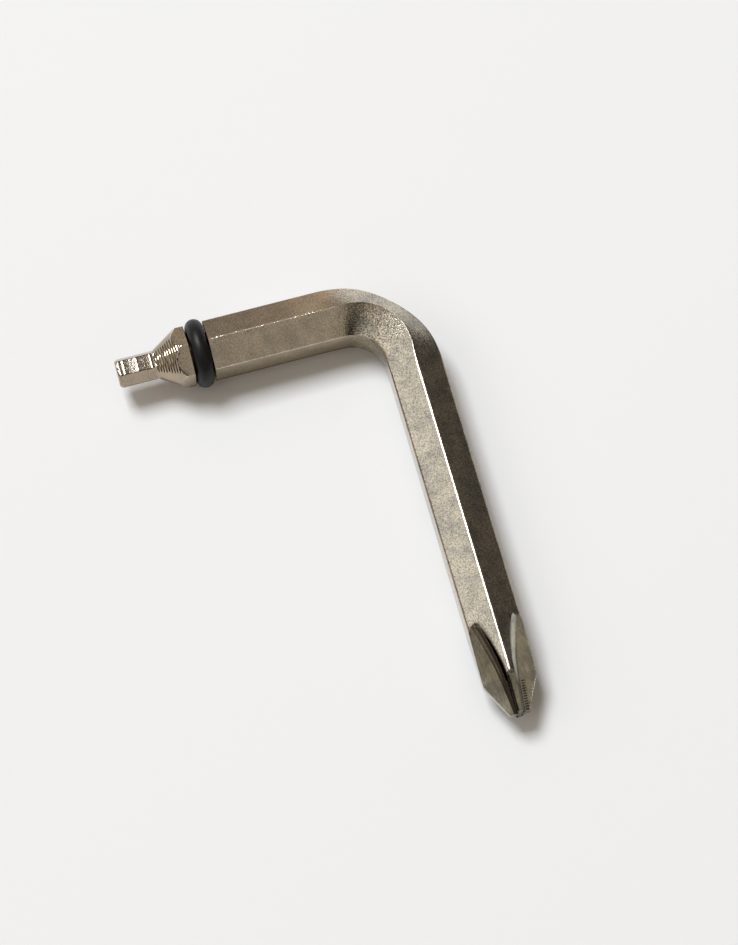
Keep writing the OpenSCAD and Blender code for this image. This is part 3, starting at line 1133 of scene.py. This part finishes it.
# %% Soft lamp
lamp_distance, lamp_power = 2.5, 8.55
lamp_from = np.array([-0.27, 0.46, 1.0])
lamp_from /= np.linalg.norm(lamp_from)
lamp_right = np.array([1.0, 0.0, 0.0]) - lamp_from[0] * lamp_from
lamp_right /= np.linalg.norm(lamp_right)
lamp_up = np.cross(lamp_from, lamp_right)
lamp = bpy.data.objects.new("soft_lamp", bpy.data.lights.new("soft_lamp", "AREA"))
lamp.data.shape = "RECTANGLE"
lamp.data.size = 0.95
lamp.data.size_y = 1.0
lamp.data.energy = lamp_power * lamp_distance ** 2
lamp.data.color = (0.91, 0.95, 1.0)
lamp.location = Vector(lamp_from * lamp_distance)
lamp.rotation_euler = Matrix((lamp_right, lamp_up, lamp_from)).transposed().to_euler()
bpy.context.collection.objects.link(lamp)
print("lamp in metres:", [round(value, 3) for value in lamp.location])

# %% [markdown]
# ## Helpers for the room
#
# Metal needs a room to reflect. A photographed room can't be used here, so the room is made of soft-edged
# patches on the world's sky, each given by a direction round the horizon and two heights.

# %% Patches of a room
world = bpy.data.worlds.new("room")
bpy.context.scene.world = world
world.use_nodes = True
room = world.node_tree
sky = node(room, "ShaderNodeTexCoord").outputs["Generated"]
sky_x, sky_y, sky_z = node(room, "ShaderNodeSeparateXYZ", Vector=sky).outputs
level_sky = node(room, "ShaderNodeCombineXYZ", X=sky_x, Y=sky_y).outputs[0]
level_sky = node(room, "ShaderNodeVectorMath", operation="NORMALIZE", in_0=level_sky).outputs[0]


def towards_sky(direction, point):
    """How closely a point of the sky lies in a direction."""
    return node(room, "ShaderNodeVectorMath", operation="DOT_PRODUCT", in_0=point,
                in_1=direction).outputs["Value"]


def smooth(value, start, end, low=0.0, high=1.0):
    """Goes smoothly from low to high between two values."""
    return node(room, "ShaderNodeMapRange", interpolation_type="SMOOTHSTEP", in_0=value, in_1=start,
                in_2=end, in_3=low, in_4=high).outputs[0]


def patch(towards, half, soft, low, high, edge):
    """A soft-edged patch: its direction and half width round the horizon and two heights, in degrees."""
    towards, half, soft, low, high, edge = np.radians([towards, half, soft, low, high, edge])
    near = towards_sky((np.cos(towards), np.sin(towards), 0.0), level_sky)
    side = smooth(near, np.cos(half + soft), np.cos(half))
    rise = smooth(sky_z, np.sin(low - edge), np.sin(low))
    fall = smooth(sky_z, np.sin(high), np.sin(high + edge), 1.0, 0.0)
    return math(room, "MULTIPLY", side, math(room, "MULTIPLY", rise, fall))


print("room:", len(room.nodes), "nodes before its patches")

# %% [markdown]
# ## Room
#
# The room is dim and warm, and brighter overhead. A pale screen stands on the left with a low glow under
# it, and two pale bands lie near the horizon, behind the key on the right. Three dark patches stand for
# unlit parts of the room. Metal shows little but what is round it, so in an even room it would look like
# plastic.

# %% Room
screen_turn = Vector((0.6415, 0.3459, 0.6843))
screen_outer, screen_inner = np.sin(np.radians([17, 9]))
off_screen = math(room, "ABSOLUTE", towards_sky(screen_turn, sky))
screen = math(room, "MULTIPLY", smooth(off_screen, screen_outer, screen_inner), patch(183, 36, 12, 0, 70, 5))
pale_band = patch(38, 26, 8, -8, 12, 7)
back_band = patch(60, 23, 6, -8, 18, 9)
root_glow = patch(177, 27, 8, 0, 11, 4)
level = smooth(sky_z, 0.0, 0.6, 0.12, 0.39)
for amount, dark_patch in (
    (0.70, patch(15, 38, 15, 14, 50, 9)),
    (0.85, patch(190, 62, 15, -10, 15, 8)),
    (0.97, patch(248, 16, 9, 38, 65, 8)),
):
    level = math(room, "MULTIPLY", level, math(room, "MULTIPLY_ADD", dark_patch, -amount, 1.0))
for amount, pale_patch in ((0.58, screen), (0.06, pale_band), (0.22, back_band), (0.24, root_glow)):
    level = math(room, "MULTIPLY_ADD", pale_patch, amount, level)
warm = node(room, "ShaderNodeMix", data_type="RGBA", in_0=back_band)
warm.inputs[6].default_value = (1.0, 0.87, 0.71, 1)
warm.inputs[7].default_value = (1.0, 0.78, 0.58, 1)
tint = node(room, "ShaderNodeMix", data_type="RGBA", in_0=math(room, "MAXIMUM", screen, pale_band),
            in_6=warm.outputs[2])
tint.inputs[7].default_value = (0.98, 0.96, 0.90, 1)
background = room.nodes["Background"]
room.links.new(tint.outputs[2], background.inputs["Color"])
room.links.new(level, background.inputs["Strength"])
print("room:", len(room.nodes), "nodes")

# %% [markdown]
# ## Last steps
#
# The pieces stand in for their CAD nodes and ride on the same bodies, so the ring still turns in its
# groove.

# %% Hand the pieces over
scene = bpy.context.scene
scene.view_settings.view_transform = "Standard"
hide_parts("key_bar")
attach(bar, "key")
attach(ribs, "key")
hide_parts("o_ring")
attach(ring, "ring")
